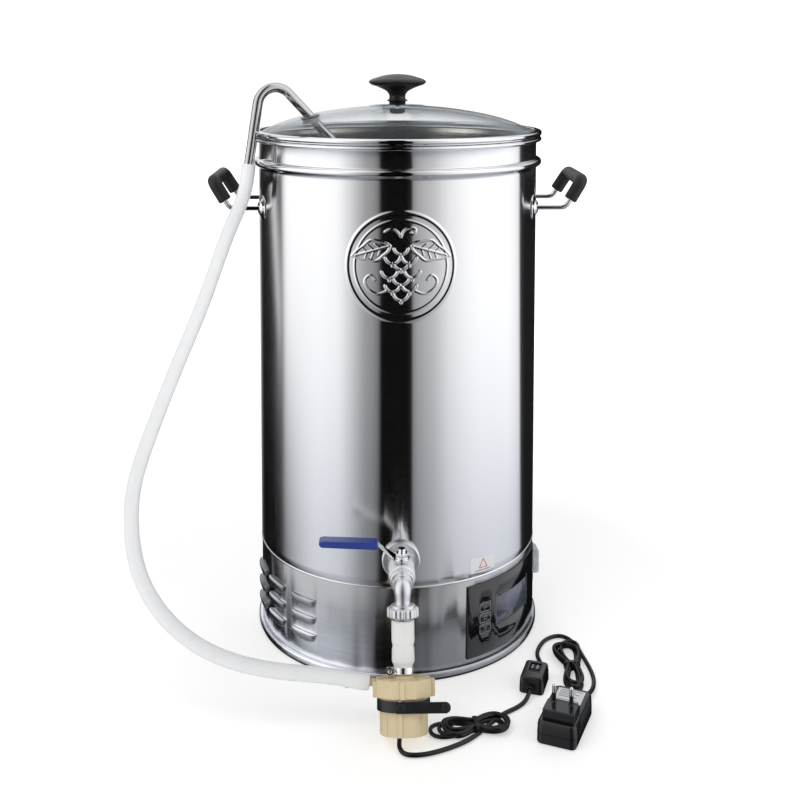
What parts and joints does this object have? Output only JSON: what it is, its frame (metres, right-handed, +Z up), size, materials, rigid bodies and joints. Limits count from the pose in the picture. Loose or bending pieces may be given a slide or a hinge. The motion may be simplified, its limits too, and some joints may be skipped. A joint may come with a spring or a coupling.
{
  "type": "electric brew kettle",
  "caption": "Tall round stainless electric brew kettle with glass lid, malt pipe, side handles, control panel, ball valve and small recirculation pump with hose.",
  "frame": {"origin": "on the boiler's axis at floor level", "axes": "+Z up, front with the valve is -Y, the power switch is on +X"},
  "size_m": [0.5458, 0.5053, 0.7009],
  "materials": {
    "stainless": "polished sheet, fine vertical reflections",
    "polished": "bright polished fittings",
    "lid_glass": "clear tempered glass",
    "black_plastic": "satin moulding",
    "panel_black": "glossy panel",
    "display": "blue-grey liquid crystal window",
    "black_rubber": "matt rubber",
    "clear_silicone": "milky translucent",
    "white_silicone": "soft white",
    "blue_vinyl": "dipped vinyl",
    "tan_plastic": "moulded, light tan",
    "white_plastic": "moulded",
    "boot_grey": "translucent boot",
    "board_green": "circuit board",
    "aluminium": "extruded"
  },
  "bodies": {
    "kettle": {"boiler_wall": "stainless", "boiler_bottom": "stainless", "base_skirt": "stainless", "base_tray": "stainless", "foot_ring": "black_rubber", "base_screws": "polished", "heating_element": "aluminium", "temperature_probe": "polished", "thermal_cutout": "black_plastic", "control_panel": "panel_black", "display_module": "display", "control_board": "board_green", "power_module": "aluminium", "switch_bezel": "black_plastic", "switch_boot": "boot_grey", "mains_inlet": "black_plastic", "handle_left": "polished", "handle_right": "polished", "grip_left": "black_rubber", "grip_right": "black_rubber", "handle_rosettes": "polished", "outlet_washer": "white_silicone", "bulkhead_fitting": "polished", "outlet_inner_nut": "polished", "valve_body": "polished", "outlet_elbow": "polished", "hose_tail": "white_plastic", "pump_hose": "white_silicone", "hose_clamp": "polished", "pump_head": "tan_plastic", "pump_housing": "tan_plastic", "pump_strap": "black_rubber", "recirculation_hose": "clear_silicone", "pump_cable": "black_rubber", "inline_switch_case": "black_plastic", "adapter_case": "black_plastic", "plug_pins": "polished"},
    "lid": {"glass_lid": "lid_glass", "lid_band": "polished", "lid_knob": "black_plastic", "knob_washer": "polished", "knob_screw": "polished", "recirculation_pipe": "polished", "lid_grommet": "black_rubber"},
    "malt": {"malt_pipe": "stainless", "bottom_sieve": "stainless", "overflow_pipe": "stainless"},
    "sieve": {"top_sieve": "stainless"},
    "lever": {"valve_lever": "polished", "lever_sleeve": "blue_vinyl", "lever_nut": "polished", "valve_stem": "polished", "valve_ball": "polished"},
    "union": {"union_nut": "polished"},
    "impeller": {"pump_impeller": "black_plastic"},
    "key_a": {"key_top": "panel_black"},
    "key_b": {"key_middle": "panel_black"},
    "key_c": {"key_bottom": "panel_black"},
    "rocker": {"power_rocker": "black_plastic"},
    "cable_rocker": {"inline_rocker": "black_plastic"}
  },
  "joints": [
    {"name": "lid_lift", "type": "slide", "parent": "kettle", "child": "lid", "axis": [0, 0, 1], "range_m": [0, 0.4], "deforming": ["recirculation_hose"]},
    {"name": "malt_pipe_lift", "type": "slide", "parent": "kettle", "child": "malt", "axis": [0, 0, 1], "range_m": [0, 0.38]},
    {"name": "top_sieve_slide", "type": "slide", "parent": "malt", "child": "sieve", "axis": [0, 0, 1], "range_m": [-0.3, 0.02]},
    {"name": "valve_turn", "type": "hinge", "parent": "kettle", "child": "lever", "pos_m": [0, -0.211, 0.147], "axis": [0, 0, 1], "range_deg": [0, 90]},
    {"name": "union_turn", "type": "hinge", "parent": "kettle", "child": "union", "pos_m": [0, -0.25205, 0.12274], "axis": [0, 0.2419, 0.9703], "continuous": true},
    {"name": "impeller_spin", "type": "hinge", "parent": "kettle", "child": "impeller", "pos_m": [0, -0.28751, 0.02844], "axis": [0, 0.3746, 0.9272], "continuous": true},
    {"name": "key_top_press", "type": "slide", "parent": "kettle", "child": "key_a", "axis": [-0.5743, 0.8187, 0], "range_m": [0, 0.0008], "stiffness_N_per_m": 400},
    {"name": "key_middle_press", "type": "slide", "parent": "kettle", "child": "key_b", "axis": [-0.5743, 0.8187, 0], "range_m": [0, 0.0008], "stiffness_N_per_m": 400},
    {"name": "key_bottom_press", "type": "slide", "parent": "kettle", "child": "key_c", "axis": [-0.5743, 0.8187, 0], "range_m": [0, 0.0008], "stiffness_N_per_m": 400},
    {"name": "power_rocker_tilt", "type": "hinge", "parent": "kettle", "child": "rocker", "pos_m": [0.17047, 0.01342, 0.06], "axis": [0.0785, -0.9969, 0], "range_deg": [0, 16]},
    {"name": "cable_rocker_tilt", "type": "hinge", "parent": "kettle", "child": "cable_rocker", "pos_m": [0.15507, -0.18274, 0.015], "axis": [0.9455, -0.3256, 0], "range_deg": [0, 14]}
  ],
  "couplings": [
    {"joint": "malt_pipe_lift", "follows": "lid_lift", "ratio": 0.95}
  ]
}
